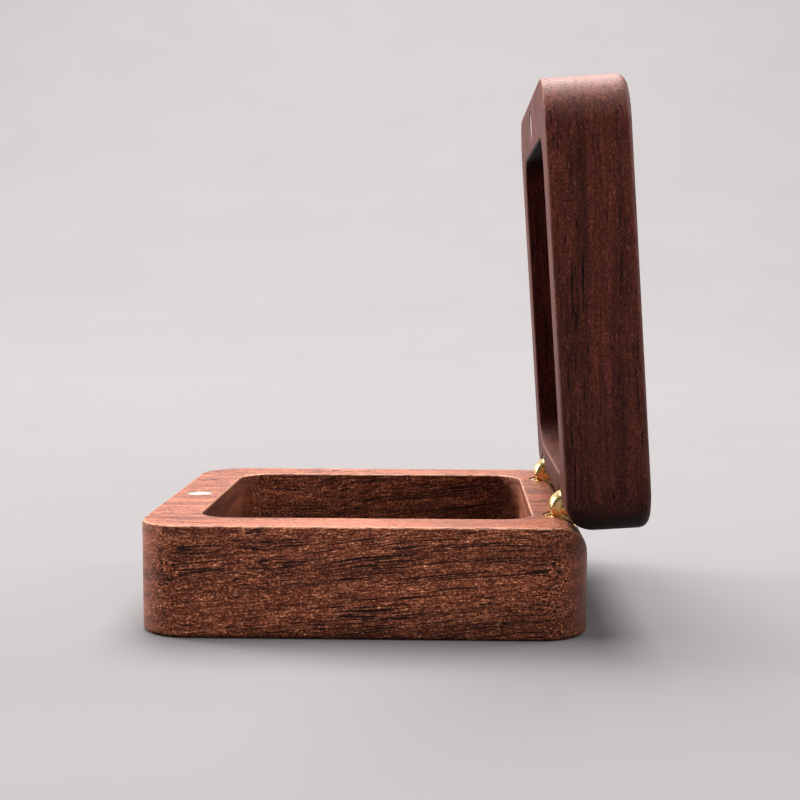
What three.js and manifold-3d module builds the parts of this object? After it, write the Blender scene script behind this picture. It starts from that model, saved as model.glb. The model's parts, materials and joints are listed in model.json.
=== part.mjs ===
// A walnut ring box: two milled wooden halves on two brass barrel hinges, a magnet in each front
// wall that holds it shut, and a soft ring insert in the base. The lid stands open.
// Millimetres. +Z is up, the front is towards -Y, the hinges run along X at the rear, and the
// origin is the middle of the bottom face of the base.
import * as THREE from 'three';
import { mergeVertices } from 'three/addons/utils/BufferGeometryUtils.js';
import Module from 'manifold-3d';

const wasm = await Module();
wasm.setup();

// ---- driving dimensions ----

const SIDE = 60; // the square plan of both halves
const WALL = 7.2;
const UPRIGHT_RADIUS = 6.8; // the four upright corners
const CAVITY_RADIUS = 5; // the four corners of each milled cavity
const REAR_ROUNDING = 4.5; // rim edge at the rear, rounded so that the halves can swing apart
const BASE = { height: 15, floor: 2.4, ease: 0.7 };
const LID = { height: 11.2, floor: 2.8, ease: 1.4 };
const CLOSED_GAP = 0.2; // between the two rims when the box is shut
const REST_OPENING = 86.2; // degrees, how far the lid stands open

const PIVOT_INSET = 2.45; // hinge pin to the rear face
const PIVOT_LIFT = 1; // hinge pin above the base rim
const HINGE_OFFSET = 18.3; // each hinge from the middle of the box
const BARREL = { radius: 2.3, length: 9, lidLength: 7, inset: 3.3 };
const EYE = { radius: 2.3, width: 4.4 };
const TONGUE_WIDTH = 1.4;
const SLOT_WIDTH = 1.8;
const PIN = { radius: 0.6, headRadius: 0.95, headDepth: 0.2 };
const PIN_CLEARANCE = 0.1;
const SWING_CLEARANCE = 0.3; // around whatever turns about the pin
const SEAT_CLEARANCE = 0.1; // around whatever is pressed or glued in

const MAGNET = { radius: 2, thickness: 2, chamfer: 0.2, inset: WALL / 2 };

const BOARD = { side: 45.1, radius: 4.6, thickness: 1 };
const PAD = { length: 44, width: 21, thickness: 3.7, radius: 3.2, ease: 1.2, gap: 0.3 };
const RING_SLOT = 1.8; // between the two pads

const CORNER_STEPS = 14; // segments in a quarter turn of the wood
const EASE_STEPS = 4;
const SOFT_STEPS = 5; // the same for the insert, which is plain
const ROUND_STEPS = 32; // segments in a full turn of the small metal pieces
const OVERSHOOT = 1; // how far a cutting tool runs past the wood

const baseRim = BASE.height;
const lidRim = baseRim + CLOSED_GAP;
const pivot = { y: SIDE / 2 - PIVOT_INSET, z: baseRim + PIVOT_LIFT };
const barrelY = SIDE / 2 - BARREL.inset;

// ---- materials ----

const materials = {
  walnutBase: { color: 0x6d3a29, roughness: 0.62, metalness: 0 },
  walnutLid: { color: 0x55302a, roughness: 0.55, metalness: 0 },
  brass: { color: 0xc9a24d, roughness: 0.24, metalness: 1 },
  nickel: { color: 0xd9d6d2, roughness: 0.2, metalness: 1 },
  board: { color: 0x2a2523, roughness: 0.95, metalness: 0 },
  suede: { color: 0x35302f, roughness: 0.95, metalness: 0 },
};

function piece(name, geometry, material) {
  const mesh = new THREE.Mesh(geometry, new THREE.MeshStandardMaterial(materials[material]));
  mesh.name = name;
  return mesh;
}

// ---- joining and cutting ----

function solid(geometry) {
  const bare = geometry.clone();
  bare.deleteAttribute('normal');
  bare.deleteAttribute('uv');
  const merged = mergeVertices(bare, 1e-4);
  return new wasm.Manifold(new wasm.Mesh({
    numProp: 3,
    vertProperties: new Float32Array(merged.attributes.position.array),
    triVerts: new Uint32Array(merged.index.array),
  }));
}

function geometryOf(body) {
  const mesh = body.getMesh();
  const geometry = new THREE.BufferGeometry();
  geometry.setAttribute('position', new THREE.BufferAttribute(mesh.vertProperties, 3));
  geometry.setIndex(new THREE.BufferAttribute(mesh.triVerts, 1));
  geometry.computeVertexNormals();
  return geometry;
}

// ---- plain solids ----

function roundedRectangle(width, depth, radius) {
  const x = width / 2 - radius;
  const y = depth / 2 - radius;
  const shape = new THREE.Shape();
  shape.absarc(x, y, radius, 0, Math.PI / 2);
  shape.absarc(-x, y, radius, Math.PI / 2, Math.PI);
  shape.absarc(-x, -y, radius, Math.PI, 1.5 * Math.PI);
  shape.absarc(x, -y, radius, 1.5 * Math.PI, 2 * Math.PI);
  shape.closePath();
  return shape;
}

function plate(width, depth, radius, bottom, top, steps = CORNER_STEPS) {
  const geometry = new THREE.ExtrudeGeometry(roundedRectangle(width, depth, radius), {
    depth: top - bottom,
    bevelEnabled: false,
    curveSegments: steps,
  });
  return geometry.translate(0, 0, bottom);
}

function easedPlate(width, depth, radius, bottom, top, ease, steps = CORNER_STEPS) {
  const geometry = new THREE.ExtrudeGeometry(roundedRectangle(width, depth, radius), {
    depth: top - bottom - 2 * ease,
    bevelThickness: ease,
    bevelSize: ease,
    bevelOffset: -ease,
    bevelSegments: EASE_STEPS,
    curveSegments: steps,
  });
  return geometry.translate(0, 0, bottom + ease);
}

function block(low, high) {
  const size = new THREE.Vector3().subVectors(high, low);
  const middle = new THREE.Vector3().addVectors(low, high).multiplyScalar(0.5);
  return new THREE.BoxGeometry(size.x, size.y, size.z).translate(middle.x, middle.y, middle.z);
}

function uprightRod(radius, x, y, bottom, top) {
  const rod = new THREE.CylinderGeometry(radius, radius, top - bottom, ROUND_STEPS);
  return rod.rotateX(Math.PI / 2).translate(x, y, (bottom + top) / 2);
}

function crossRod(radius, x, width, y, z) {
  const rod = new THREE.CylinderGeometry(radius, radius, width, ROUND_STEPS);
  return rod.rotateZ(Math.PI / 2).translate(x, y, z);
}

// ---- the two wooden halves ----
// Each half is milled lying on its outer face with its rim up, and its hinge side towards +Y.

function rearRoundingTool(rim) {
  // The corner of stock outside a quarter round along the rear edge of the rim.
  const reach = SIDE / 2 - REAR_ROUNDING;
  const shape = new THREE.Shape();
  shape.moveTo(reach, rim);
  shape.absarc(reach, rim - REAR_ROUNDING, REAR_ROUNDING, Math.PI / 2, 0, true);
  shape.lineTo(SIDE / 2 + OVERSHOOT, rim - REAR_ROUNDING);
  shape.lineTo(SIDE / 2 + OVERSHOOT, rim + OVERSHOOT);
  shape.lineTo(reach, rim + OVERSHOOT);
  const length = SIDE + 2 * OVERSHOOT;
  const tool = new THREE.ExtrudeGeometry(shape, {
    depth: length,
    bevelEnabled: false,
    curveSegments: CORNER_STEPS,
  });
  // The outline was drawn in (y, z): turn it to run along X.
  return tool.rotateX(Math.PI / 2).rotateZ(Math.PI / 2).translate(-length / 2, 0, 0);
}

function hingeSeats(rim, pivotZ, boreLength) {
  const sweep = EYE.radius + SWING_CLEARANCE + SEAT_CLEARANCE;
  const halfWidth = BARREL.radius + SWING_CLEARANCE;
  const tools = [];
  for (const x of [-HINGE_OFFSET, HINGE_OFFSET]) {
    const bore = BARREL.radius + SEAT_CLEARANCE;
    tools.push(uprightRod(bore, x, barrelY, rim - boreLength, rim + OVERSHOOT));
    tools.push(crossRod(sweep, x, 2 * halfWidth, pivot.y, pivotZ));
    tools.push(block(
      new THREE.Vector3(x - halfWidth, pivot.y, pivotZ - sweep),
      new THREE.Vector3(x + halfWidth, SIDE / 2 + OVERSHOOT, rim + OVERSHOOT),
    ));
  }
  return tools;
}

function magnetPocket(rim) {
  const y = -SIDE / 2 + MAGNET.inset;
  const depth = MAGNET.thickness + 2 * SEAT_CLEARANCE;
  return uprightRod(MAGNET.radius + SEAT_CLEARANCE, 0, y, rim - depth, rim + OVERSHOOT);
}

function woodenHalf({ height, floor, ease }, pivotZ, boreLength) {
  const opening = SIDE - 2 * WALL;
  const blank = easedPlate(SIDE, SIDE, UPRIGHT_RADIUS, 0, height + 2 * ease, ease);
  const aboveRim = block(
    new THREE.Vector3(-SIDE, -SIDE, height),
    new THREE.Vector3(SIDE, SIDE, height + SIDE),
  );
  const tools = [
    aboveRim,
    plate(opening, opening, CAVITY_RADIUS, floor, height + OVERSHOOT),
    rearRoundingTool(height),
    magnetPocket(height),
    ...hingeSeats(height, pivotZ, boreLength),
  ];
  return geometryOf(tools.reduce((wood, tool) => wood.subtract(solid(tool)), solid(blank)));
}

// ---- hinges ----
// Each hinge is drawn shut, with the middle of its pin at the origin. Both barrels sit a little
// towards the front of the pin, so the shared eye lies at the rear edge of the box.

const barrelShift = barrelY - pivot.y;

function pinBore() {
  return crossRod(PIN.radius + PIN_CLEARANCE, 0, 3 * EYE.width, 0, 0);
}

function hingeBaseBarrel() {
  const top = -PIVOT_LIFT - SEAT_CLEARANCE;
  const barrel = uprightRod(BARREL.radius, 0, barrelShift, top - BARREL.length, top);
  const eye = crossRod(EYE.radius, 0, EYE.width, 0, 0);
  const slot = crossRod(EYE.radius + SWING_CLEARANCE, 0, SLOT_WIDTH, 0, 0);
  const joined = solid(barrel).add(solid(eye));
  return geometryOf(joined.subtract(solid(slot)).subtract(solid(pinBore())));
}

function hingeLidBarrel() {
  const bottom = lidRim - pivot.z + SEAT_CLEARANCE;
  const barrel = uprightRod(BARREL.radius, 0, barrelShift, bottom, bottom + BARREL.lidLength);
  const eye = crossRod(EYE.radius, 0, TONGUE_WIDTH, 0, 0);
  let joined = solid(barrel).add(solid(eye));
  for (const side of [-1, 1]) {
    const x = side * (TONGUE_WIDTH + EYE.width) / 2;
    const cheekRoom = crossRod(EYE.radius + SWING_CLEARANCE, x, EYE.width, 0, 0);
    joined = joined.subtract(solid(cheekRoom));
  }
  return geometryOf(joined.subtract(solid(pinBore())));
}

function hingePin() {
  // A riveted pin: a straight shank with a shallow domed head outside each cheek.
  const half = EYE.width / 2 + SEAT_CLEARANCE;
  const dome = [[0, 1], [0.5, 0.85], [0.85, 0.45], [1, 0]];
  const head = dome.map(([out, up]) => [PIN.headRadius * out, half + PIN.headDepth * up]);
  const profile = [
    ...head.map(([radius, height]) => new THREE.Vector2(radius, -height)),
    new THREE.Vector2(PIN.radius, -half),
    new THREE.Vector2(PIN.radius, half),
    ...head.reverse().map(([radius, height]) => new THREE.Vector2(radius, height)),
  ];
  return new THREE.LatheGeometry(profile, ROUND_STEPS).rotateZ(Math.PI / 2);
}

// ---- small pieces ----

function magnetDisc(top) {
  const bottom = top - MAGNET.thickness;
  const profile = [
    new THREE.Vector2(0, bottom),
    new THREE.Vector2(MAGNET.radius - MAGNET.chamfer, bottom),
    new THREE.Vector2(MAGNET.radius, bottom + MAGNET.chamfer),
    new THREE.Vector2(MAGNET.radius, top - MAGNET.chamfer),
    new THREE.Vector2(MAGNET.radius - MAGNET.chamfer, top),
    new THREE.Vector2(0, top),
  ];
  const disc = new THREE.LatheGeometry(profile, ROUND_STEPS).rotateX(Math.PI / 2);
  return disc.translate(0, -SIDE / 2 + MAGNET.inset, 0);
}

function insertBoard() {
  const bottom = BASE.floor + SEAT_CLEARANCE;
  const top = bottom + BOARD.thickness;
  return plate(BOARD.side, BOARD.side, BOARD.radius, bottom, top, SOFT_STEPS);
}

function ringPad(side) {
  const bottom = BASE.floor + SEAT_CLEARANCE + BOARD.thickness + PAD.gap;
  const top = bottom + PAD.thickness;
  const { length, width, radius, ease } = PAD;
  const pad = easedPlate(length, width, radius, bottom, top, ease, SOFT_STEPS);
  return pad.translate(0, side * (RING_SLOT + PAD.width) / 2, 0);
}

// ---- assembly ----

const ringBox = new THREE.Group();

// Everything that swings with the lid hangs on the pin's axis, drawn shut and then turned open.
const lidSwing = new THREE.Group();
lidSwing.position.set(0, pivot.y, pivot.z);
lidSwing.rotation.x = -THREE.MathUtils.degToRad(REST_OPENING);
ringBox.add(lidSwing);

// Inside the swing, the lid's own milling frame is turned over so that its rim faces down.
const lidFrame = new THREE.Group();
lidFrame.rotation.y = Math.PI;
lidFrame.position.set(0, -pivot.y, lidRim + LID.height - pivot.z);
lidSwing.add(lidFrame);

const lidPivotZ = LID.height - (pivot.z - lidRim);
ringBox.add(piece('base_box', woodenHalf(BASE, pivot.z, BARREL.length + 0.4), 'walnutBase'));
lidFrame.add(piece('lid_box', woodenHalf(LID, lidPivotZ, BARREL.lidLength + 0.4), 'walnutLid'));

ringBox.add(piece('base_magnet', magnetDisc(baseRim - SEAT_CLEARANCE), 'nickel'));
lidFrame.add(piece('lid_magnet', magnetDisc(LID.height - SEAT_CLEARANCE), 'nickel'));

ringBox.add(piece('insert_board', insertBoard(), 'board'));
ringBox.add(piece('ring_pad_front', ringPad(-1), 'suede'));
ringBox.add(piece('ring_pad_rear', ringPad(1), 'suede'));

for (const [side, x] of [['left', -HINGE_OFFSET], ['right', HINGE_OFFSET]]) {
  const baseBarrel = piece(`hinge_${side}_base_barrel`, hingeBaseBarrel(), 'brass');
  const pin = piece(`hinge_${side}_pin`, hingePin(), 'brass');
  const lidBarrel = piece(`hinge_${side}_lid_barrel`, hingeLidBarrel(), 'brass');
  baseBarrel.position.set(x, pivot.y, pivot.z);
  pin.position.set(x, pivot.y, pivot.z);
  lidBarrel.position.set(x, 0, 0);
  ringBox.add(baseBarrel, pin);
  lidSwing.add(lidBarrel);
}

export default ringBox;
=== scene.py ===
import json
import math

import bmesh
import bpy
import numpy as np
from mathutils import Matrix, Vector


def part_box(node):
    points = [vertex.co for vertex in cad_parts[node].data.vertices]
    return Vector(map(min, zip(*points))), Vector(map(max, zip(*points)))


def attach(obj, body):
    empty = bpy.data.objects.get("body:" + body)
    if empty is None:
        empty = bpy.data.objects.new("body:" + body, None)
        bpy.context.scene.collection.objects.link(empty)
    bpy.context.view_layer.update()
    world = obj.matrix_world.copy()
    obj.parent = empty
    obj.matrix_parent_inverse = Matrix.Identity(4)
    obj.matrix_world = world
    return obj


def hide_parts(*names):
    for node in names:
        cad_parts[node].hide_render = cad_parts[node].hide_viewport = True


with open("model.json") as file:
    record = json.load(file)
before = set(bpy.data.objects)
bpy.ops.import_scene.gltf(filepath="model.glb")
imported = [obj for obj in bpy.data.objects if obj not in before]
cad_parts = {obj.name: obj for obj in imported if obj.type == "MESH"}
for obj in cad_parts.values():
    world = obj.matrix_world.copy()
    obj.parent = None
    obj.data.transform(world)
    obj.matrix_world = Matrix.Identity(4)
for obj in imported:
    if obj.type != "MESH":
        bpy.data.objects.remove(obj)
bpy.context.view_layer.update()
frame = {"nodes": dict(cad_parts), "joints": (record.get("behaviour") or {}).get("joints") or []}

MM = 0.001

# ---- sizes from the frame ----

HINGE = frame["joints"][0]
PIVOT = Vector(HINGE["pos_m"])
REST_OPENING = -math.radians(HINGE["range_deg"][0])

BASE_LOW, BASE_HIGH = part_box("base_box")
HALF_SIDE = BASE_HIGH.x
BASE_RIM = BASE_HIGH.z

BARREL_LOW, BARREL_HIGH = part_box("hinge_right_base_barrel")
HINGE_X = (BARREL_LOW.x + BARREL_HIGH.x) / 2
BARREL_RADIUS = (BARREL_HIGH.x - BARREL_LOW.x) / 2
BARREL_Y = BARREL_LOW.y + BARREL_RADIUS
EYE_RADIUS = BARREL_HIGH.z - PIVOT.z

MAGNET_LOW, MAGNET_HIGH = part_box("base_magnet")
MAGNET_RADIUS = (MAGNET_HIGH.x - MAGNET_LOW.x) / 2
MAGNET_Y = (MAGNET_LOW.y + MAGNET_HIGH.y) / 2


def opened(angle):
    """The lid's place when it is opened by that angle from shut, for points drawn shut."""
    turn = Matrix.Rotation(-angle, 4, "X")
    return Matrix.Translation(PIVOT) @ turn @ Matrix.Translation(-PIVOT)


def shut_points(node):
    """A lid node's corners with the lid shut."""
    undo = opened(REST_OPENING).inverted()
    return [undo @ v.co for v in frame["nodes"][node].data.vertices]


LID_RIM = min(p.z for p in shut_points("lid_box"))
LID_TOP = max(p.z for p in shut_points("lid_box"))
LID_HEIGHT = LID_TOP - LID_RIM
LID_BARREL_TOP = max(p.z for p in shut_points("hinge_right_lid_barrel"))
# Each half is drawn as it is milled: on its outer face, rim up, hinges towards +Y.
LID_PLACE = opened(REST_OPENING) @ Matrix.Translation((0, 0, LID_TOP)) @ Matrix.Rotation(math.pi, 4, "Y")
BASE_PLACE = Matrix.Identity(4)

# ---- sizes of the woodwork and fittings ----

WALL = 7.2 * MM
UPRIGHT_RADIUS = 6.8 * MM
CAVITY_RADIUS = 5.0 * MM
REAR_ROUNDING = 4.5 * MM
BASE_FLOOR = 2.4 * MM
LID_FLOOR = 2.8 * MM
BASE_EASE = 0.7 * MM
LID_EASE = 1.4 * MM
RIM_EASE = 0.35 * MM  # the broken edge where rim meets wall
FLOOR_FILLET = 0.6 * MM  # left by the cutter round the cavity floor
SWING_CLEARANCE = 0.3 * MM
SEAT_CLEARANCE = 0.1 * MM
TONGUE_WIDTH = 1.4 * MM
SLOT_WIDTH = 1.8 * MM
EYE_WIDTH = 4.4 * MM
PIN_HOLE_RADIUS = 0.7 * MM
OVERSHOOT = 1 * MM  # how far a cutting tool runs past the wood
BORE_SPARE = 0.3 * MM  # the bottom of a bore below its barrel

CORNER_STEPS = 28  # segments in a quarter turn of the wood
ROUND_STEPS = 96  # segments in a full turn of the metal


# ---- making meshes ----


def object_from(name, mesh, place=None):
    """A new object in the scene, standing where place says."""
    made = bpy.data.objects.new(name, mesh)
    bpy.context.scene.collection.objects.link(made)
    if place is not None:
        made.matrix_world = place
    return made


def mesh_from(name, build):
    """A mesh made by build(bm), with its faces pointing out."""
    bm = bmesh.new()
    build(bm)
    bmesh.ops.recalc_face_normals(bm, faces=bm.faces[:])
    mesh = bpy.data.meshes.new(name)
    bm.to_mesh(mesh)
    bm.free()
    return mesh


def loft(bm, rings):
    """Skins a list of closed rings with quads, and caps the first and the last."""
    loops = [[bm.verts.new(p) for p in ring] for ring in rings]
    count = len(loops[0])
    for lower, upper in zip(loops, loops[1:]):
        for i in range(count):
            j = (i + 1) % count
            bm.faces.new((lower[i], lower[j], upper[j], upper[i]))
    bm.faces.new(loops[0])
    bm.faces.new(loops[-1])


def turned(bm, profile, steps=ROUND_STEPS):
    """Turns (radius, z) points about Z. The first and the last point lie on the axis."""
    rings = []
    for radius, z in profile[1:-1]:
        angles = [2 * math.pi * i / steps for i in range(steps)]
        rings.append([bm.verts.new((radius * math.cos(a), radius * math.sin(a), z)) for a in angles])
    ends = [bm.verts.new((0, 0, profile[0][1])), bm.verts.new((0, 0, profile[-1][1]))]
    for i in range(steps):
        j = (i + 1) % steps
        bm.faces.new((ends[0], rings[0][j], rings[0][i]))
        bm.faces.new((ends[1], rings[-1][i], rings[-1][j]))
        for lower, upper in zip(rings, rings[1:]):
            bm.faces.new((lower[i], lower[j], upper[j], upper[i]))


def quarter(steps):
    """Angles from nothing to a quarter turn."""
    return [math.pi / 2 * i / steps for i in range(steps + 1)]


def rounded_outline(half_x, half_y, radius, steps=CORNER_STEPS):
    """The (x, y) points of a rectangle with round corners."""
    points = []
    corners = [(1, 1, 0), (-1, 1, 1), (-1, -1, 2), (1, -1, 3)]
    for sx, sy, turn in corners:
        for a in quarter(steps):
            angle = a + turn * math.pi / 2
            x = sx * (half_x - radius) + radius * math.cos(angle)
            y = sy * (half_y - radius) + radius * math.sin(angle)
            points.append((x, y))
    return points


def boolean(target, tool_mesh, operation):
    """Joins or cuts target's mesh with a tool mesh, and applies the result."""
    tool = object_from("tool", tool_mesh, target.matrix_world.copy())
    modifier = target.modifiers.new("cut", "BOOLEAN")
    modifier.operation = operation
    modifier.solver = "EXACT"
    modifier.object = tool
    bpy.context.view_layer.update()
    evaluated = target.evaluated_get(bpy.context.evaluated_depsgraph_get())
    result = bpy.data.meshes.new_from_object(evaluated)
    target.modifiers.remove(modifier)
    target.data = result
    bpy.data.objects.remove(tool)


def shade_smooth(made):
    made.data.polygons.foreach_set("use_smooth", [True] * len(made.data.polygons))


def smooth_by_angle(made, degrees=32):
    """Smooth shading with sharp edges kept, and flat faces kept flat."""
    shade_smooth(made)
    bm = bmesh.new()
    bm.from_mesh(made.data)
    for edge in bm.edges:
        edge.smooth = edge.calc_face_angle(0.0) < math.radians(degrees)
    bm.to_mesh(made.data)
    bm.free()
    weighted = made.modifiers.new("flat_faces", "WEIGHTED_NORMAL")
    weighted.keep_sharp = True
    weighted.weight = 80


def break_edges(made, chosen, width):
    """Breaks the sharp edges for which chosen(edge middle) holds."""
    bm = bmesh.new()
    bm.from_mesh(made.data)
    edges = [
        e for e in bm.edges
        if e.calc_face_angle(0.0) > math.radians(40)
        and chosen((e.verts[0].co + e.verts[1].co) / 2)
    ]
    bmesh.ops.bevel(
        bm, geom=edges, offset=width, segments=2, profile=0.5, affect="EDGES", clamp_overlap=True
    )
    bm.to_mesh(made.data)
    bm.free()


def finish_piece(made, body, node, material):
    """Gives a piece its material, sets the body it rides on, and hides the CAD node it stands for."""
    made.data.materials.clear()
    made.data.materials.append(material)
    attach(made, body)
    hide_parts(node)


# ---- materials ----


class Graph:
    """Short names for building a material's node tree."""

    def __init__(self, name):
        self.material = bpy.data.materials.new(name)
        self.material.use_nodes = True
        self.tree = self.material.node_tree
        self.tree.nodes.clear()
        self.output = self.tree.nodes.new("ShaderNodeOutputMaterial")
        self.shader = self.tree.nodes.new("ShaderNodeBsdfPrincipled")
        self.tree.links.new(self.shader.outputs[0], self.output.inputs["Surface"])

    def put(self, value, socket):
        """Links a socket, or sets a plain value."""
        if isinstance(value, bpy.types.NodeSocket):
            self.tree.links.new(value, socket)
        elif value is not None:
            socket.default_value = value

    def node(self, kind, **settings):
        made = self.tree.nodes.new(kind)
        for name, value in settings.items():
            setattr(made, name, value)
        return made

    def place(self, rotation=(0, 0, 0), location=(0, 0, 0)):
        """The object's own coordinates in millimetres, turned and shifted."""
        coordinates = self.node("ShaderNodeTexCoord").outputs["Object"]
        turned_to = self.node("ShaderNodeMapping", vector_type="TEXTURE")
        self.put(coordinates, turned_to.inputs["Vector"])
        self.put(rotation, turned_to.inputs["Rotation"])
        self.put((MM, MM, MM), turned_to.inputs["Scale"])
        moved = self.node("ShaderNodeMapping")
        self.put(turned_to.outputs[0], moved.inputs["Vector"])
        self.put(location, moved.inputs["Location"])
        return moved.outputs[0]

    def scaled(self, vector, scale, location=(0, 0, 0)):
        """Coordinates stretched for a pattern: scale is its features in a millimetre."""
        made = self.node("ShaderNodeMapping")
        self.put(vector, made.inputs["Vector"])
        self.put(scale, made.inputs["Scale"])
        self.put(location, made.inputs["Location"])
        return made.outputs[0]

    def facing(self):
        """The object's own surface direction, as X, Y and Z sockets."""
        made = self.node("ShaderNodeSeparateXYZ")
        self.put(self.node("ShaderNodeTexCoord").outputs["Normal"], made.inputs[0])
        return made.outputs

    def noise(self, vector, scale=1.0, detail=2.0, roughness=0.5, distortion=0.0, colour=False):
        made = self.node("ShaderNodeTexNoise")
        self.put(vector, made.inputs["Vector"])
        self.put(scale, made.inputs["Scale"])
        self.put(detail, made.inputs["Detail"])
        self.put(roughness, made.inputs["Roughness"])
        self.put(distortion, made.inputs["Distortion"])
        return made.outputs["Color" if colour else "Fac"]

    def cells(self, vector, scale=1.0):
        """The distance to the nearest of some scattered points."""
        made = self.node("ShaderNodeTexVoronoi")
        self.put(vector, made.inputs["Vector"])
        self.put(scale, made.inputs["Scale"])
        return made.outputs["Distance"]

    def calc(self, operation, a, b=None, c=None, clamp=False):
        made = self.node("ShaderNodeMath", operation=operation, use_clamp=clamp)
        for value, socket in zip((a, b, c), made.inputs):
            self.put(value, socket)
        return made.outputs[0]

    def span(self, value, low, high, to_low=0.0, to_high=1.0):
        """A soft step from to_low to to_high, as value goes from low to high."""
        made = self.node("ShaderNodeMapRange", interpolation_type="SMOOTHSTEP")
        for given, socket in zip((value, low, high, to_low, to_high), made.inputs):
            self.put(given, socket)
        return made.outputs[0]

    def blend(self, share, a, b):
        """A mix of two numbers."""
        made = self.node("ShaderNodeMix", data_type="FLOAT")
        for value, socket in zip((share, a, b), (made.inputs[0], made.inputs[2], made.inputs[3])):
            self.put(value, socket)
        return made.outputs[0]

    def mix(self, share, a, b, blend="MIX"):
        """A mix of two colours."""
        made = self.node("ShaderNodeMix", data_type="RGBA", blend_type=blend)
        self.put(share, made.inputs["Factor"])
        for value, name in ((a, "A"), (b, "B")):
            socket = next(s for s in made.inputs if s.name == name and s.type == "RGBA")
            self.put((*value, 1.0) if isinstance(value, tuple) else value, socket)
        return next(s for s in made.outputs if s.type == "RGBA")

    def bump(self, height, distance, strength):
        made = self.node("ShaderNodeBump")
        self.put(height, made.inputs["Height"])
        self.put(distance, made.inputs["Distance"])
        self.put(strength, made.inputs["Strength"])
        return made.outputs[0]

    def set(self, **values):
        """Sets or links the shader's own sockets."""
        for name, value in values.items():
            self.put(value, self.shader.inputs[name.replace("_", " ")])


# Two walnut boards: the base's is browner with open pores, the lid's is darker and redder.
# pale and dark are its growth bands. The end tints lighten the front end with a painted sheen and darken
# the rear end as end grain with painted shade; the rim tint brightens the rim faces with a painted
# highlight, and a painted shade darkens the board towards the hinges. shift picks the place in the tree
# that the board is cut from.
BASE_LOOK = dict(
    pale=(0.242, 0.065, 0.029), dark=(0.098, 0.023, 0.0095), pore=(0.018, 0.005, 0.003),
    fleck_and_highlight=(0.60, 0.32, 0.20), tilt=4.9, shift=(4, 31, 2),
    streak=1.9, fibre=4.2, grit=6.2, pore_onset=0.558,
    front_end_sheen=(1.2, 1.32, 1.45), rear_end_grain_and_shade=(0.64, 0.64, 0.64), rim_highlight=1.10, painted_light=0.96,
    gloss=0.42, shine=0.2,
)
LID_LOOK = dict(
    pale=(0.112, 0.0235, 0.0135), dark=(0.062, 0.0120, 0.0065), pore=(0.006, 0.001, 0.001),
    fleck_and_highlight=(0.24, 0.09, 0.06), tilt=0.8, shift=(57, 9, 40),
    streak=2.3, fibre=1.8, grit=3.2, pore_onset=0.604,
    front_end_sheen=(1.45, 1.8, 2.15), rear_end_grain_and_shade=(0.12, 0.12, 0.12), rim_highlight=1.15, painted_light=0.66,
    gloss=0.48, shine=0.16,
)


def wandering(g, grain):
    """The same coordinates gently bent, as a board's figure wanders."""
    wander = g.noise(g.scaled(grain, (0.05, 0.03, 0.05)), detail=2.0, colour=True)
    centred = g.node("ShaderNodeVectorMath", operation="SUBTRACT")
    g.put(wander, centred.inputs[0])
    g.put((0.5, 0.5, 0.5), centred.inputs[1])
    push = g.node("ShaderNodeVectorMath", operation="MULTIPLY_ADD")
    g.put(centred.outputs[0], push.inputs[0])
    g.put((4.0, 0.0, 4.0), push.inputs[1])
    g.put(grain, push.inputs[2])
    return push.outputs[0]


def growth_tone(g, bent, end, look):
    """Growth bands: broad and soft with narrow ones inside them, and arcs across the end grain."""
    broad = g.noise(g.scaled(bent, (0.12, 0.006, 0.16)), detail=2.0, roughness=0.55)
    narrow = g.noise(g.scaled(bent, (0.5, 0.015, 0.6)), detail=3.0, roughness=0.6)
    arcs = g.noise(g.scaled(bent, (0.05, 0.02, 0.75)), detail=3.0, roughness=0.6)
    bands = g.calc("MULTIPLY_ADD", narrow, 0.5, g.calc("MULTIPLY", broad, 0.5))
    bands = g.blend(end, bands, g.calc("MULTIPLY_ADD", arcs, 0.65, 0.175))
    return g.mix(g.span(bands, 0.36, 0.62), look["dark"], look["pale"])


def fibre_factor(g, bent, fibre, end, facing, look):
    """How streaks, fibre and grit darken or lighten the tone, by a share of itself."""
    streak = g.noise(g.scaled(bent, (1.3, 0.08, 1.3)), detail=3.0, roughness=0.65)
    grit = g.noise(g.scaled(bent, (5.6, 2.8, 5.6), (3, 5, 7)), detail=1.0)
    # End grain and the sanded rim are calmer.
    streak_strength = g.blend(end, look["streak"], 0.1 * look["streak"])
    fibre_strength = g.blend(end, look["fibre"], 0.4 * look["fibre"])
    grit_strength = g.blend(end, look["grit"], 0.6 * look["grit"])
    shade = 0.0
    for layer, strength in ((streak, streak_strength), (fibre, fibre_strength), (grit, grit_strength)):
        shade = g.calc("MULTIPLY_ADD", g.calc("SUBTRACT", layer, 0.5), strength, shade)
    shade = g.calc("MULTIPLY", shade, g.span(facing["Z"], 0.6, 0.98, 1.0, 0.6))
    # Dark fibres are richer in colour than pale ones.
    factor = g.node("ShaderNodeCombineColor")
    for strength, socket in zip((0.85, 1.10, 1.20), factor.inputs):
        g.put(g.calc("EXPONENT", g.calc("MULTIPLY", shade, strength)), socket)
    return factor.outputs[0]


def open_pores(g, bent, end, look):
    """Pores: long vessels in drifts with short fine ones everywhere, and dots on the end grain."""
    drift = g.noise(g.scaled(bent, (0.10, 0.018, 0.14), (11, 2, 4)), detail=2.0)
    onset = g.span(drift, 0.40, 0.60, look["pore_onset"] + 0.10, look["pore_onset"])
    vessel = g.noise(g.scaled(bent, (4.2, 0.075, 4.2), (0, 7, 0)), detail=1.5)
    long_pores = g.span(g.calc("SUBTRACT", vessel, onset), 0.0, 0.045)
    pits = g.noise(g.scaled(bent, (3.4, 0.30, 3.4), (5, 1, 9)), detail=2.0)
    short_pores = g.span(pits, 0.645, 0.72, 0.0, 0.85)
    dots = g.span(g.cells(g.scaled(bent, (2.1, 0.1, 2.1))), 0.26, 0.12, 0.0, 0.7)
    return g.blend(end, g.calc("MAXIMUM", long_pores, short_pores), dots)


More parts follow.
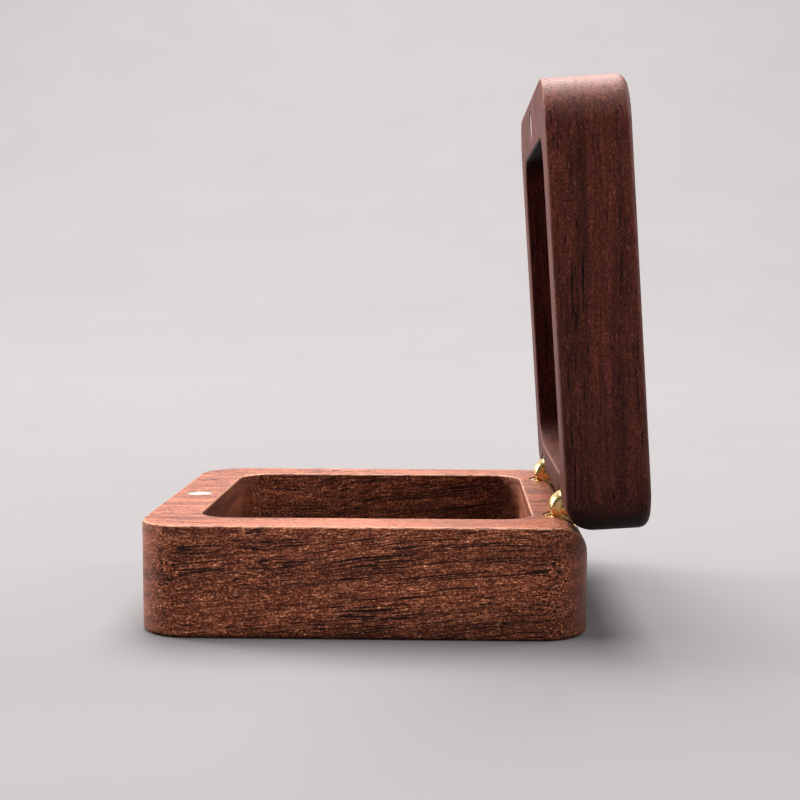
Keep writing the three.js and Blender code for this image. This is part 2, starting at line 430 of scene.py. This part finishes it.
def rubbed_and_highlit_edges(g, fibre, facing):
    """Where handling has rubbed the rim's edges pale, and a painted highlight along those eased edges."""
    edge = g.calc("MULTIPLY", g.span(facing["Z"], 0.10, 0.45), g.span(facing["Z"], 0.99, 0.88))
    return g.calc("MULTIPLY", edge, g.span(fibre, 0.38, 0.58, 0.1, 0.5))


def walnut(name, look):
    """Oiled walnut, its grain along Y: soft bands, fine fibre, and open pores cut lengthwise."""
    g = Graph(name)
    bent = wandering(g, g.place(rotation=(math.radians(look["tilt"]), 0, 0), location=look["shift"]))
    facing = g.facing()
    end = g.span(g.calc("ABSOLUTE", facing["Y"]), 0.4, 0.95)
    fibre = g.noise(g.scaled(bent, (3.9, 0.5, 3.9)), detail=2.0, roughness=0.6)
    pores = open_pores(g, bent, end, look)

    tone = growth_tone(g, bent, end, look)
    tone = g.mix(1.0, tone, fibre_factor(g, bent, fibre, end, facing, look), blend="MULTIPLY")
    tone = g.mix(pores, tone, look["pore"])
    glint = g.noise(g.scaled(bent, (3.6, 1.3, 3.6), (8, 3, 1)), detail=1.0)
    glint = g.calc("MULTIPLY", g.span(glint, 0.66, 0.78, 0.0, 0.55), g.span(end, 0.0, 1.0, 1.0, 0.3))
    tone = g.mix(glint, tone, look["fleck_and_highlight"])
    # Paler eased edges: wear and a painted highlight.
    tone = g.mix(rubbed_and_highlit_edges(g, fibre, facing), tone, look["fleck_and_highlight"])

    # The front end is lightened with a painted sheen, and the rear end darkened as end grain with painted
    # shade.
    for direction, tint in ((1, look["rear_end_grain_and_shade"]), (-1, look["front_end_sheen"])):
        share = g.span(facing["Y"], 0.25 * direction, 0.90 * direction)
        tone = g.mix(share, tone, g.mix(1.0, tone, tint, blend="MULTIPLY"))
    # Painted shade: the board darkens towards its hinge end.
    length = g.node("ShaderNodeSeparateXYZ")
    g.put(g.place(), length.inputs[0])
    painted_light = g.span(length.outputs["Y"], -32, 32, 1.0, look["painted_light"])
    # Painted highlight: the rim faces are brightened.
    painted_light = g.calc("MULTIPLY", painted_light, g.span(facing["Z"], 0.6, 0.98, 1.0, look["rim_highlight"]))
    tone = g.mix(1.0, tone, painted_light, blend="MULTIPLY")

    relief = g.calc("MULTIPLY_ADD", fibre, 0.5, g.calc("SUBTRACT", 1.0, pores))
    gloss = g.span(fibre, 0.3, 0.7, look["gloss"], look["gloss"] + 0.12)
    gloss = g.calc("MULTIPLY_ADD", pores, 0.3, gloss, clamp=True)
    g.set(Base_Color=tone, Roughness=gloss, Normal=g.bump(relief, 0.05 * MM, 0.6))
    g.set(Specular_IOR_Level=look["shine"])
    return g.material


def brass(name):
    """Polished brass with a film of tarnish and fine turning marks."""
    g = Graph(name)
    place = g.place()
    cloud = g.noise(place, 0.9, 3.0, 0.6)
    tone = g.mix(g.span(cloud, 0.35, 0.7), (1.0, 0.77, 0.33), (0.86, 0.60, 0.23))
    lines = g.noise(g.scaled(place, (9.0, 1.2, 1.2)), 1.0, 2.0, 0.6)
    specks = g.span(g.cells(place, 2.2), 0.12, 0.05)
    tone = g.mix(g.calc("MULTIPLY", specks, 0.4), tone, (0.35, 0.2, 0.07))
    rough = g.calc("MULTIPLY_ADD", cloud, 0.12, g.span(lines, 0.3, 0.7, 0.14, 0.24))
    g.set(Base_Color=tone, Metallic=1.0, Roughness=rough, Normal=g.bump(lines, 0.006 * MM, 0.5))
    return g.material


def nickel(name):
    """Bright nickel plating, finely scratched by the disc it meets."""
    g = Graph(name)
    place = g.place()
    cloud = g.noise(place, 0.8, 3.0, 0.6)
    tone = g.mix(g.span(cloud, 0.35, 0.7), (0.56, 0.53, 0.51), (0.44, 0.41, 0.40))
    scratch = g.noise(g.scaled(place, (0.7, 12.0, 6.0)), 1.0, 2.0, 0.6)
    rough = g.calc("MULTIPLY_ADD", cloud, 0.15, g.span(scratch, 0.35, 0.65, 0.2, 0.34))
    g.set(Base_Color=tone, Metallic=1.0, Roughness=rough, Normal=g.bump(scratch, 0.004 * MM, 0.5))
    return g.material


def suede(name, deep, raised):
    """Short-napped suede: brushed patches, a fine pile and a soft bloom at grazing angles."""
    g = Graph(name)
    place = g.place()
    brushed = g.noise(g.scaled(place, (0.30, 0.16, 0.30)), 1.0, 2.0, 0.5, 0.3)
    pile = g.noise(g.scaled(place, (1.0, 0.7, 1.0)), 3.2, 4.0, 0.75)
    tufts = g.cells(place, 2.6)
    tone = g.mix(g.span(brushed, 0.25, 0.75, 0.2, 0.5), deep, raised)
    tone = g.mix(g.span(pile, 0.36, 0.66, 0.0, 0.8), tone, raised)
    tone = g.mix(g.span(tufts, 0.45, 0.1, 0.0, 0.5), tone, deep)
    height = g.calc("MULTIPLY_ADD", tufts, -0.5, pile)
    g.set(Base_Color=tone, Roughness=0.95, Normal=g.bump(height, 0.12 * MM, 0.9))
    g.set(Sheen_Weight=0.22, Sheen_Roughness=0.5, Sheen_Tint=(0.75, 0.7, 0.68, 1))
    g.set(Specular_IOR_Level=0.2)
    return g.material


def card(name):
    """Dense black card with a faint felt of fibres."""
    g = Graph(name)
    place = g.place()
    fibre = g.noise(g.scaled(place, (2.0, 0.6, 2.0)), 1.0, 4.0, 0.7, 0.8)
    tone = g.mix(g.span(fibre, 0.3, 0.7), (0.017, 0.015, 0.014), (0.036, 0.031, 0.028))
    g.set(Base_Color=tone, Roughness=0.9, Normal=g.bump(fibre, 0.03 * MM, 0.6))
    return g.material


def studio_floor(name):
    """A pale, matt sweep with the faintest tooth."""
    g = Graph(name)
    place = g.place()
    tooth = g.noise(place, 0.8, 3.0, 0.6)
    drift = g.noise(place, 0.01, 2.0, 0.5)
    tone = g.mix(g.span(drift, 0.3, 0.7), (0.106, 0.102, 0.107), (0.110, 0.106, 0.110))
    g.set(Base_Color=tone, Roughness=0.8, Normal=g.bump(tooth, 0.02 * MM, 0.4))
    return g.material


# ---- the two wooden halves ----


def rim_height(y, rim):
    """The rim's height at y: level, then rounded off towards the rear face."""
    past = y - (HALF_SIDE - REAR_ROUNDING)
    if past <= 0:
        return rim
    return rim - REAR_ROUNDING + math.sqrt(max(REAR_ROUNDING**2 - past**2, 0.0))


def flat_ring(half, radius, z):
    return [(x, y, z) for x, y in rounded_outline(half, half, radius)]


def wall_ring(inset, level):
    """A ring that far inside the upright face, at the height level(y)."""
    share = min(inset / WALL, 1.0)
    radius = UPRIGHT_RADIUS + (CAVITY_RADIUS - UPRIGHT_RADIUS) * share
    half = HALF_SIDE - inset
    return [(x, y, level(y)) for x, y in rounded_outline(half, half, radius)]


def outer_rings(height, ease):
    """From the eased outer face up the walls and over their broken top edge."""
    rings = []
    for a in quarter(6):
        inset = ease * (1 - math.sin(a))
        rings.append(flat_ring(HALF_SIDE - inset, UPRIGHT_RADIUS - inset, ease * (1 - math.cos(a))))
    wall_steps = 6
    for step in range(1, wall_steps + 1):
        share = step / wall_steps
        rings.append(wall_ring(0, lambda y: ease + share * (rim_height(y, height) - RIM_EASE - ease)))
    for a in quarter(3)[1:]:
        drop = RIM_EASE * (1 - math.sin(a))
        rings.append(wall_ring(RIM_EASE * (1 - math.cos(a)), lambda y: rim_height(y, height) - drop))
    return rings


def rim_rings(height):
    """Across the rim, closest together where its rear rounding is steepest, and over its inner edge."""
    across = [REAR_ROUNDING * (1 - math.cos(a)) for a in quarter(14)]
    insets = [inset for inset in across if inset > 1.5 * RIM_EASE] + [0.5 * (REAR_ROUNDING + WALL)]
    rings = [wall_ring(inset, lambda y: rim_height(y, height)) for inset in insets]
    for a in quarter(3):
        drop = RIM_EASE * (1 - math.cos(a))
        rings.append(wall_ring(WALL - RIM_EASE * (1 - math.sin(a)), lambda y: height - drop))
    return rings


def cavity_rings(floor):
    """Down the cavity's walls into the fillet round its floor."""
    opening = HALF_SIDE - WALL
    rings = []
    for a in quarter(5):
        inset = FLOOR_FILLET * (1 - math.cos(a))
        z = floor + FLOOR_FILLET * (1 - math.sin(a))
        rings.append(flat_ring(opening - inset, CAVITY_RADIUS - inset, z))
    return rings


def wooden_shell(bm, height, floor, ease):
    """A rounded square block with a square cavity, skinned from its outer face to its floor."""
    loft(bm, outer_rings(height, ease) + rim_rings(height) + cavity_rings(floor))


def rod(bm, radius, start, end):
    """A capped cylinder between two points."""
    direction = end - start
    place = Matrix.Translation((start + end) / 2) @ direction.to_track_quat("Z", "Y").to_matrix().to_4x4()
    bmesh.ops.create_cone(
        bm, cap_ends=True, segments=ROUND_STEPS, radius1=radius, radius2=radius,
        depth=direction.length, matrix=place,
    )


def cross_rod(bm, radius, x, width):
    """A cylinder along X, about the pin of a hinge that is drawn at the origin."""
    rod(bm, radius, Vector((x - width / 2, 0, 0)), Vector((x + width / 2, 0, 0)))


def cut_hinge_seat(wood, x, rim, pivot_z, bore_depth):
    """Bores the hole for one barrel, and clears the room in which its eye turns."""
    sweep = EYE_RADIUS + SWING_CLEARANCE + SEAT_CLEARANCE
    half_width = BARREL_RADIUS + SWING_CLEARANCE
    above = max(rim, pivot_z) + OVERSHOOT
    bore = BARREL_RADIUS + SEAT_CLEARANCE

    def bore_tool(bm):
        rod(bm, bore, Vector((x, BARREL_Y, rim - bore_depth)), Vector((x, BARREL_Y, above)))

    def eye_tool(bm):
        # The section in (y, z): a quarter round below the pin's front, open upwards and to the rear.
        rear = HALF_SIDE + OVERSHOOT
        section = [(rear, above), (PIVOT.y - sweep, above)]
        for a in quarter(32):
            angle = math.pi + a
            section.append((PIVOT.y + sweep * math.cos(angle), pivot_z + sweep * math.sin(angle)))
        section.append((rear, pivot_z - sweep))
        sides = [x - half_width, x + half_width]
        loft(bm, [[(side, y, z) for y, z in section] for side in sides])

    boolean(wood, mesh_from("bore_tool", bore_tool), "DIFFERENCE")
    boolean(wood, mesh_from("eye_tool", eye_tool), "DIFFERENCE")


def cut_magnet_pocket(wood, rim):
    """Drills the magnet's pocket, its mouth slightly flared."""
    depth = MAGNET_HIGH.z - MAGNET_LOW.z + 2 * SEAT_CLEARANCE
    radius = MAGNET_RADIUS + SEAT_CLEARANCE
    flare = 0.1 * MM

    def tool(bm):
        profile = [
            (0, rim - depth),
            (radius, rim - depth),
            (radius, rim - flare),
            (radius + flare + OVERSHOOT, rim + OVERSHOOT),
            (0, rim + OVERSHOOT),
        ]
        turned(bm, profile)
        bmesh.ops.translate(bm, verts=bm.verts[:], vec=(0, MAGNET_Y, 0))

    boolean(wood, mesh_from("pocket_tool", tool), "DIFFERENCE")


def wooden_half(name, place, height, floor, ease, pivot_z, bore_depth):
    """One milled half with its hinge seats and magnet pocket, drawn rim up and then put in place."""
    wood = object_from(name, mesh_from(name, lambda bm: wooden_shell(bm, height, floor, ease)), place)
    for x in (-HINGE_X, HINGE_X):
        cut_hinge_seat(wood, x, height, pivot_z, bore_depth)
    cut_magnet_pocket(wood, height)
    smooth_by_angle(wood)
    return wood


# ---- hinges ----
# Each barrel is drawn shut, about the middle of its pin.


def barrel_profile(bottom, top):
    """A turned barrel: eased ends and three shallow grip grooves."""
    ease, groove, pitch = 0.15 * MM, 0.1 * MM, 1.0 * MM
    middle = (bottom + top) / 2
    profile = [(0, bottom), (BARREL_RADIUS - ease, bottom), (BARREL_RADIUS, bottom + ease)]
    for step in (-1, 0, 1):
        z = middle + step * pitch
        profile += [
            (BARREL_RADIUS, z - 0.2 * MM),
            (BARREL_RADIUS - groove, z - 0.1 * MM),
            (BARREL_RADIUS - groove, z + 0.1 * MM),
            (BARREL_RADIUS, z + 0.2 * MM),
        ]
    return profile + [(BARREL_RADIUS, top - ease), (BARREL_RADIUS - ease, top), (0, top)]


def turned_eye(bm, width):
    """A disc across the barrel with well rounded edges."""
    ease = 0.15 * width
    lower = [
        (EYE_RADIUS - ease * (1 - math.sin(a)), ease * (1 - math.cos(a)) - width / 2)
        for a in quarter(8)
    ]
    upper = [(radius, -x) for radius, x in lower[::-1]]
    turned(bm, [(0, -width / 2)] + lower + upper + [(0, width / 2)])
    bmesh.ops.rotate(bm, verts=bm.verts[:], matrix=Matrix.Rotation(math.pi / 2, 3, "Y"))


def hinge_half(name, bottom, top, eye_width, clear_discs, place):
    """A barrel with its eye. clear_discs are the (x, width) gaps for the other half's eye."""
    shift = BARREL_Y - PIVOT.y

    def barrel(bm):
        turned(bm, barrel_profile(bottom, top))
        bmesh.ops.translate(bm, verts=bm.verts[:], vec=(0, shift, 0))

    made = object_from(name, mesh_from(name, barrel), place)
    boolean(made, mesh_from("eye", lambda bm: turned_eye(bm, eye_width)), "UNION")
    for x, width in clear_discs:
        disc = mesh_from("disc", lambda bm: cross_rod(bm, EYE_RADIUS + SWING_CLEARANCE, x, width))
        boolean(made, disc, "DIFFERENCE")
    hole = mesh_from("hole", lambda bm: cross_rod(bm, PIN_HOLE_RADIUS, 0, 3 * EYE_WIDTH))
    boolean(made, hole, "DIFFERENCE")
    break_edges(made, lambda p: Vector((0, p.y, p.z)).length > 1.5 * PIN_HOLE_RADIUS, 0.1 * MM)
    smooth_by_angle(made)
    return made


def rivet(name, node, place):
    """A hinge pin with two domed heads, as long as its CAD node."""
    low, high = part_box(node)
    half = (high.x - low.x) / 2
    shank, head, head_depth = 0.6 * MM, 0.95 * MM, 0.2 * MM

    def build(bm):
        upper = [(head * math.sin(a), half - head_depth * (1 - math.cos(a))) for a in quarter(8)]
        lower = [(radius, -z) for radius, z in upper[::-1]]
        inner = [(shank, half - head_depth), (shank, -(half - head_depth))]
        turned(bm, upper + inner + lower, 64)
        bmesh.ops.rotate(bm, verts=bm.verts[:], matrix=Matrix.Rotation(math.pi / 2, 3, "Y"))

    made = object_from(name, mesh_from(name, build), place)
    smooth_by_angle(made)
    return made


def build_hinges(material):
    """Both hinges: the base's half has two cheeks, and the lid's has a tongue between them."""
    base_bottom = BARREL_LOW.z - PIVOT.z
    base_top = BASE_RIM - SEAT_CLEARANCE - PIVOT.z
    lid_bottom = LID_RIM + SEAT_CLEARANCE - PIVOT.z
    lid_top = LID_BARREL_TOP - PIVOT.z
    cheek_room = (TONGUE_WIDTH + EYE_WIDTH) / 2
    swing = opened(REST_OPENING)
    for side, x in (("left", -HINGE_X), ("right", HINGE_X)):
        at_pin = Matrix.Translation((x, PIVOT.y, PIVOT.z))
        base_half = hinge_half(
            f"hinge_{side}_base_half", base_bottom, base_top, EYE_WIDTH, [(0, SLOT_WIDTH)], at_pin
        )
        finish_piece(base_half, "base", f"hinge_{side}_base_barrel", material)
        lid_half = hinge_half(
            f"hinge_{side}_lid_half", lid_bottom, lid_top, TONGUE_WIDTH,
            [(-cheek_room, EYE_WIDTH), (cheek_room, EYE_WIDTH)], swing @ at_pin,
        )
        finish_piece(lid_half, "lid", f"hinge_{side}_lid_barrel", material)
        pin = rivet(f"hinge_{side}_rivet", f"hinge_{side}_pin", at_pin)
        finish_piece(pin, "base", f"hinge_{side}_pin", material)


# ---- magnets ----


def magnet_disc(name, top, place):
    """A disc with eased edges, its upper face at that height."""
    thickness = MAGNET_HIGH.z - MAGNET_LOW.z
    ease = 0.2 * MM

    def build(bm):
        upper = [
            (MAGNET_RADIUS - ease * (1 - math.sin(a)), top - ease * (1 - math.cos(a)))
            for a in quarter(4)
        ]
        lower = [(r, 2 * top - thickness - z) for r, z in upper]
        turned(bm, [(0, top)] + upper + lower[::-1] + [(0, top - thickness)])
        bmesh.ops.translate(bm, verts=bm.verts[:], vec=(0, MAGNET_Y, 0))

    made = object_from(name, mesh_from(name, build), place)
    smooth_by_angle(made)
    return made


# ---- ring insert ----


def build_insert_card(material):
    """The card under the pads, a thin square with eased edges."""
    low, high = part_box("insert_board")
    half, radius, ease = high.x, 4.6 * MM, 0.12 * MM
    lower = [(ease * (1 - math.sin(a)), low.z + ease * (1 - math.cos(a))) for a in quarter(3)]
    upper = [(inset, high.z - (z - low.z)) for inset, z in lower[::-1]]

    def build(bm):
        rings = []
        for inset, z in lower + upper:
            outline = rounded_outline(half - inset, half - inset, radius - inset, 12)
            rings.append([(x, y, z) for x, y in outline])
        loft(bm, rings)

    made = object_from("insert_card", mesh_from("insert_card", build))
    smooth_by_angle(made)
    finish_piece(made, "base", "insert_board", material)


CLOTH_SCALE = 10  # the cloth is solved ten times as large, where the solver is steady
PAD_VOXEL = 5 * MM
PAD_CAP = 12 * MM  # how far the puff may move a point, at that scale
PAD_HELD = 8 * MM  # the height over which the glued underside lets go, at that scale
PAD_FRAMES = 20


def pad_blank(low, high):
    """The foam before it is covered: a soft-edged block, a little smaller than its space."""
    inset = 0.35 * MM
    half_x = (high.x - low.x) / 2 - inset
    half_y = (high.y - low.y) / 2 - inset
    corner, ease = 3.0 * MM, 1.3 * MM
    foot = 0.4 * ease
    bottom, top = low.z - 0.2 * MM, high.z - 0.25 * MM
    middle = Vector(((low.x + high.x) / 2, (low.y + high.y) / 2, 0))
    levels = [(foot * (1 - math.sin(a)), bottom + foot * (1 - math.cos(a))) for a in quarter(5)]
    levels += [(ease * (1 - math.cos(a)), top - ease * (1 - math.sin(a))) for a in quarter(6)]

    def build(bm):
        rings = []
        for pull, z in levels:
            outline = rounded_outline(half_x - pull, half_y - pull, corner - pull, 8)
            rings.append([(middle.x + x, middle.y + y, z) for x, y in outline])
        loft(bm, rings)

    return build


def set_cloth(settings):
    """Light suede, blown up by its foam and weightless."""
    settings.quality = 6
    settings.mass = 0.25
    settings.tension_stiffness = 12
    settings.compression_stiffness = 12
    settings.shear_stiffness = 6
    settings.bending_stiffness = 0.8
    settings.use_pressure = True
    settings.uniform_pressure_force = 4
    settings.effector_weights.gravity = 0


def puffed_points(made):
    """Where the cloth solver moves the points of a mesh."""
    cloth = made.modifiers.new("cloth", "CLOTH")
    set_cloth(cloth.settings)
    scene = bpy.context.scene
    scene.frame_start, scene.frame_end = 1, PAD_FRAMES
    for number in range(1, PAD_FRAMES + 1):
        scene.frame_set(number)
    evaluated = made.evaluated_get(bpy.context.evaluated_depsgraph_get())
    points = np.array([v.co for v in evaluated.data.vertices])
    made.modifiers.remove(cloth)
    return points


def simulated_pad(name, low, high):
    """Puffs the covered foam with the cloth solver, holding it down on its board."""
    made = object_from(name, mesh_from(name, pad_blank(low, high)))
    centre = Vector(((low.x + high.x) / 2, (low.y + high.y) / 2, low.z))
    enlarge = Matrix.Scale(CLOTH_SCALE, 4) @ Matrix.Translation(-centre)
    made.data.transform(enlarge)
    made.data.remesh_voxel_size = PAD_VOXEL
    bpy.context.view_layer.objects.active = made
    made.select_set(True)
    bpy.ops.object.voxel_remesh()
    rest = np.array([v.co for v in made.data.vertices])
    step = puffed_points(made) - rest
    # The whole puff is scaled so that its crown moves no further than the cap.
    step *= min(1.0, PAD_CAP / np.linalg.norm(step, axis=1).max())
    # The underside stays on the board.
    bottom = rest[:, 2].min()
    held = np.clip((rest[:, 2] - bottom) / PAD_HELD, 0, 1)
    settled = rest + step * held[:, None]
    settled[:, 2] = np.maximum(settled[:, 2], bottom)
    made.data.vertices.foreach_set("co", settled.astype(np.float32).ravel())
    made.data.transform(enlarge.inverted())
    made.data.update()
    made.select_set(False)
    bpy.context.scene.frame_set(1)
    return made


def ring_pad(name, node, material):
    """One suede pad in the space of its CAD node."""
    low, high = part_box(node)
    made = simulated_pad(name, low, high)
    shade_smooth(made)
    finer = made.modifiers.new("finer", "SUBSURF")
    finer.levels = finer.render_levels = 1
    finish_piece(made, "base", node, material)


# ---- the object ----


def build_wood():
    base_walnut = walnut("walnut_base", BASE_LOOK)
    lid_walnut = walnut("walnut_lid", LID_LOOK)
    base = wooden_half(
        "base_walnut", BASE_PLACE, BASE_RIM, BASE_FLOOR, BASE_EASE, PIVOT.z,
        BASE_RIM - BARREL_LOW.z + BORE_SPARE,
    )
    finish_piece(base, "base", "base_box", base_walnut)
    lid = wooden_half(
        "lid_walnut", LID_PLACE, LID_HEIGHT, LID_FLOOR, LID_EASE,
        LID_HEIGHT - (PIVOT.z - LID_RIM), LID_BARREL_TOP - LID_RIM + BORE_SPARE,
    )
    finish_piece(lid, "lid", "lid_box", lid_walnut)


def build_magnets(plated):
    base_disc = magnet_disc("base_magnet_disc", MAGNET_HIGH.z, BASE_PLACE)
    finish_piece(base_disc, "base", "base_magnet", plated)
    lid_disc = magnet_disc("lid_magnet_disc", LID_HEIGHT - SEAT_CLEARANCE, LID_PLACE)
    finish_piece(lid_disc, "lid", "lid_magnet", plated)


def build_insert():
    build_insert_card(card("card"))
    charcoal = suede("suede", deep=(0.008, 0.007, 0.007), raised=(0.034, 0.030, 0.029))
    ring_pad("ring_pad_front_suede", "ring_pad_front", charcoal)
    ring_pad("ring_pad_rear_suede", "ring_pad_rear", charcoal)


# ---- studio ----


def build_floor():
    """A sweep: the floor curves up behind the box into a backdrop."""
    front, bend_start, bend, top, half_width = 9.0, -0.5, 1.7, 5.0, 9.0
    profile = [(front, 0.0), (bend_start, 0.0)]
    profile += [(bend_start - bend * math.sin(a), bend * (1 - math.cos(a))) for a in quarter(24)[1:]]
    profile.append((bend_start - bend, top))

    def build(bm):
        rows = [[bm.verts.new((x, y, z)) for x, z in profile] for y in (-half_width, half_width)]
        for i in range(len(profile) - 1):
            bm.faces.new((rows[0][i], rows[0][i + 1], rows[1][i + 1], rows[1][i]))

    sweep = object_from("studio_sweep", mesh_from("studio_sweep", build))
    shade_smooth(sweep)
    sweep.data.materials.append(studio_floor("sweep"))


def area_light(name, place, size, power, colour):
    """A rectangular softbox that looks at the box. Metres and watts."""
    data = bpy.data.lights.new(name, "AREA")
    data.shape = "RECTANGLE"
    data.size, data.size_y = size
    data.energy = power
    data.color = colour
    made = bpy.data.objects.new(name, data)
    bpy.context.scene.collection.objects.link(made)
    made.location = place
    aim = Vector((0, 0, 2 * BASE_RIM)) - Vector(place)
    made.rotation_mode = "QUATERNION"
    made.rotation_quaternion = aim.to_track_quat("-Z", "Y")


def build_lights():
    """A large overhead softbox, smaller ones round it, and a dim sky."""
    area_light("overhead", (-0.7, 0.0, 2.0), (1.6, 2.4), 202.0, (1.0, 0.965, 0.94))
    area_light("rear", (-0.9, 1.9, 1.1), (0.7, 1.2), 32.0, (1.0, 0.97, 0.96))
    area_light("left", (-0.9, -1.9, 0.9), (0.7, 1.0), 74.0, (1.0, 0.96, 0.95))
    area_light("fill", (1.3, 0.7, 1.5), (1.0, 0.8), 20.0, (1.0, 0.96, 0.94))
    world = bpy.data.worlds.new("studio")
    world.use_nodes = True
    background = world.node_tree.nodes["Background"]
    background.inputs["Color"].default_value = (0.74, 0.73, 0.76, 1)
    background.inputs["Strength"].default_value = 0.12
    bpy.context.scene.world = world


CAMERA_PLACE = (0.21624, 0.01181, 0.04638)
CAMERA_FORWARD = Vector((-0.99622, -0.03608, -0.07905))
CAMERA_RIGHT = Vector((-0.03630, 0.99934, 0.00134))
CAMERA_LENS, CAMERA_SENSOR = 65.1, 36  # millimetres


def build_camera():
    """Beside the box, a little above its rim, looking along the hinge line."""
    data = bpy.data.cameras.new("camera")
    data.sensor_width = CAMERA_SENSOR
    data.lens = CAMERA_LENS
    data.clip_start, data.clip_end = 0.01, 50
    made = bpy.data.objects.new("camera", data)
    bpy.context.scene.collection.objects.link(made)
    axes = (CAMERA_RIGHT, CAMERA_RIGHT.cross(CAMERA_FORWARD), -CAMERA_FORWARD)
    turn = Matrix(axes).transposed().to_4x4()
    made.matrix_world = Matrix.Translation(CAMERA_PLACE) @ turn
    bpy.context.scene.camera = made


build_wood()
build_hinges(brass("brass"))
build_magnets(nickel("nickel"))
build_insert()
build_floor()
build_lights()
build_camera()
bpy.context.scene.view_settings.view_transform = "Standard"
